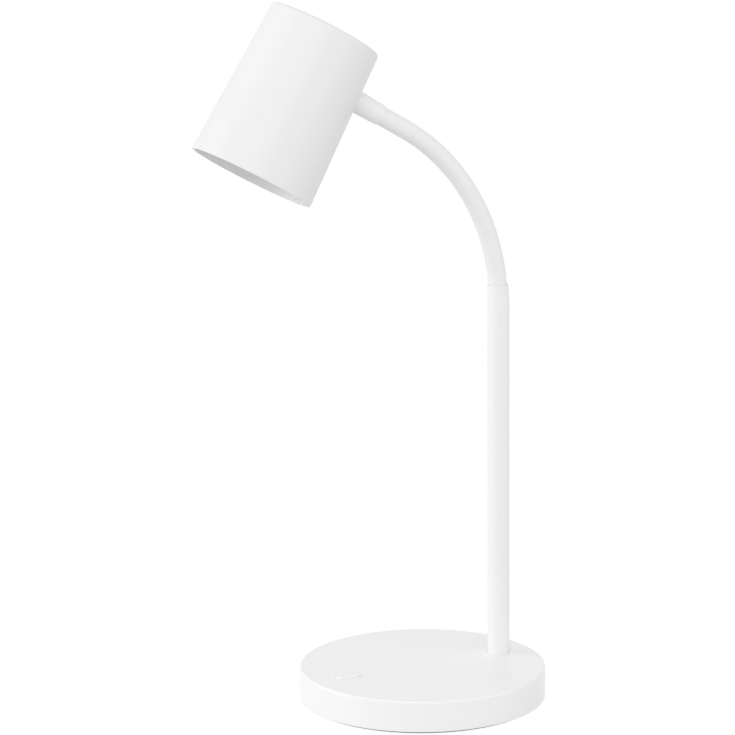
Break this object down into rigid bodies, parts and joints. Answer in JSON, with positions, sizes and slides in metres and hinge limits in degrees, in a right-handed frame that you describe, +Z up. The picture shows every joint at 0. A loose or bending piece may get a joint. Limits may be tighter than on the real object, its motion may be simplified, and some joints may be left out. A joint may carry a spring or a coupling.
{
  "type": "desk lamp",
  "caption": "Desk lamp with a round weighted base, an upright pole, a flexible neck and a can-shaped shade over an LED light; a press key on the base.",
  "frame": {"origin": "centre of the foot pad's underside, on the table", "axes": "+Z up; the shade and the key are towards -Y, the pole and the power inlet towards +Y; X = 0 is the plane of symmetry"},
  "size_m": [0.15, 0.2194, 0.4327],
  "materials": {
    "white_plastic": "fine satin texture",
    "white_paint": "satin powder coat",
    "white_sleeve": "smooth matt silicone",
    "white_trim": "matt",
    "opal_plastic": "opal, fine matt",
    "dark_foam": "closed-cell foam",
    "zinc_steel": "bright zinc plated",
    "hose_steel": "wound steel",
    "spring_steel": "phosphated",
    "iron": "as cast",
    "brass": "turned",
    "board_green": "solder mask",
    "board_white": "white solder mask on aluminium",
    "black_plastic": "moulded",
    "cream_plastic": "moulded nylon",
    "lead_pvc": "PVC sheath",
    "led_yellow": "phosphor gel",
    "sink_aluminium": "milled"
  },
  "bodies": {
    "base": {"foot_pad": "dark_foam", "bottom_plate": "zinc_steel", "plate_screws": "zinc_steel", "ballast": "iron", "base_cover": "white_plastic", "control_board": "board_green", "board_parts": "black_plastic", "board_screws": "zinc_steel", "lead_plugs": "cream_plastic", "switch_body": "black_plastic", "snap_dome": "zinc_steel", "inlet_board": "board_green", "inlet_socket": "zinc_steel", "inlet_lead": "lead_pvc", "pole_tube": "white_paint", "pole_washer": "zinc_steel", "pole_nut": "brass", "pole_bush": "cream_plastic", "pole_lead": "lead_pvc"},
    "key": {"switch_key": "white_plastic", "switch_plunger": "cream_plastic"},
    "neck_swivel": {"neck_root": "white_paint", "root_clip": "spring_steel"},
    "neck_1": {"neck_sleeve_1": "white_sleeve", "neck_hose_1": "hose_steel", "neck_lead_1": "lead_pvc"},
    "neck_2": {"neck_sleeve_2": "white_sleeve", "neck_hose_2": "hose_steel", "neck_lead_2": "lead_pvc"},
    "neck_3": {"neck_sleeve_3": "white_sleeve", "neck_hose_3": "hose_steel", "neck_lead_3": "lead_pvc"},
    "neck_4": {"neck_sleeve_4": "white_sleeve", "neck_hose_4": "hose_steel", "neck_lead_4": "lead_pvc"},
    "neck_5": {"neck_sleeve_5": "white_sleeve", "neck_hose_5": "hose_steel", "neck_lead_5": "lead_pvc"},
    "neck_6": {"neck_sleeve_6": "white_sleeve", "neck_hose_6": "hose_steel", "neck_lead_6": "lead_pvc"},
    "neck_7": {"neck_sleeve_7": "white_sleeve", "neck_hose_7": "hose_steel", "neck_lead_7": "lead_pvc"},
    "neck_end": {"neck_sleeve_8": "white_sleeve", "neck_hose_8": "hose_steel", "neck_lead_8": "lead_pvc", "neck_tip": "zinc_steel", "tip_clip": "spring_steel"},
    "head": {"head_ferrule": "white_paint", "ferrule_nut": "brass", "shade": "white_plastic", "heat_sink": "sink_aluminium", "led_board": "board_white", "leds": "led_yellow", "led_screws": "zinc_steel", "head_lead": "lead_pvc", "reflector": "white_trim", "diffuser": "opal_plastic", "diffuser_ring": "white_trim"}
  },
  "joints": [
    {"name": "key_press", "type": "slide", "parent": "base", "child": "key", "axis": [0, 0, -1], "range_m": [0, 0.0006], "stiffness_N_per_m": 800, "springref_m": -0.0006, "deforming": ["snap_dome"]},
    {"name": "neck_swing", "type": "hinge", "parent": "base", "child": "neck_swivel", "pos_m": [0, 0.0534, 0.2486], "axis": [0, 0, 1], "range_deg": [-180, 180]},
    {"name": "neck_bend_1", "type": "hinge", "parent": "neck_swivel", "child": "neck_1", "pos_m": [0, 0.0534, 0.2486], "axis": [1, 0, 0], "range_deg": [-26.15, 11.35]},
    {"name": "neck_bend_2", "type": "hinge", "parent": "neck_1", "child": "neck_2", "pos_m": [0, 0.05123, 0.26531], "axis": [1, 0, 0], "range_deg": [-26.15, 11.35]},
    {"name": "neck_bend_3", "type": "hinge", "parent": "neck_2", "child": "neck_3", "pos_m": [0, 0.04693, 0.2816], "axis": [1, 0, 0], "range_deg": [-26.15, 11.35]},
    {"name": "neck_bend_4", "type": "hinge", "parent": "neck_3", "child": "neck_4", "pos_m": [0, 0.04056, 0.2972], "axis": [1, 0, 0], "range_deg": [-26.15, 11.35]},
    {"name": "neck_bend_5", "type": "hinge", "parent": "neck_4", "child": "neck_5", "pos_m": [0, 0.03224, 0.31185], "axis": [1, 0, 0], "range_deg": [-26.15, 11.35]},
    {"name": "neck_bend_6", "type": "hinge", "parent": "neck_5", "child": "neck_6", "pos_m": [0, 0.0221, 0.32531], "axis": [1, 0, 0], "range_deg": [-26.15, 11.35]},
    {"name": "neck_bend_7", "type": "hinge", "parent": "neck_6", "child": "neck_7", "pos_m": [0, 0.01031, 0.33735], "axis": [1, 0, 0], "range_deg": [-26.15, 11.35]},
    {"name": "neck_bend_8", "type": "hinge", "parent": "neck_7", "child": "neck_end", "pos_m": [0, -0.00294, 0.34777], "axis": [1, 0, 0], "range_deg": [-26.15, 11.35]},
    {"name": "head_turn", "type": "hinge", "parent": "neck_end", "child": "head", "pos_m": [0, -0.07629, 0.3915], "axis": [0, -0.859, 0.512], "range_deg": [-180, 180]}
  ],
  "couplings": [
    {"joint": "head_turn", "follows": "neck_swing", "ratio": -1}
  ]
}
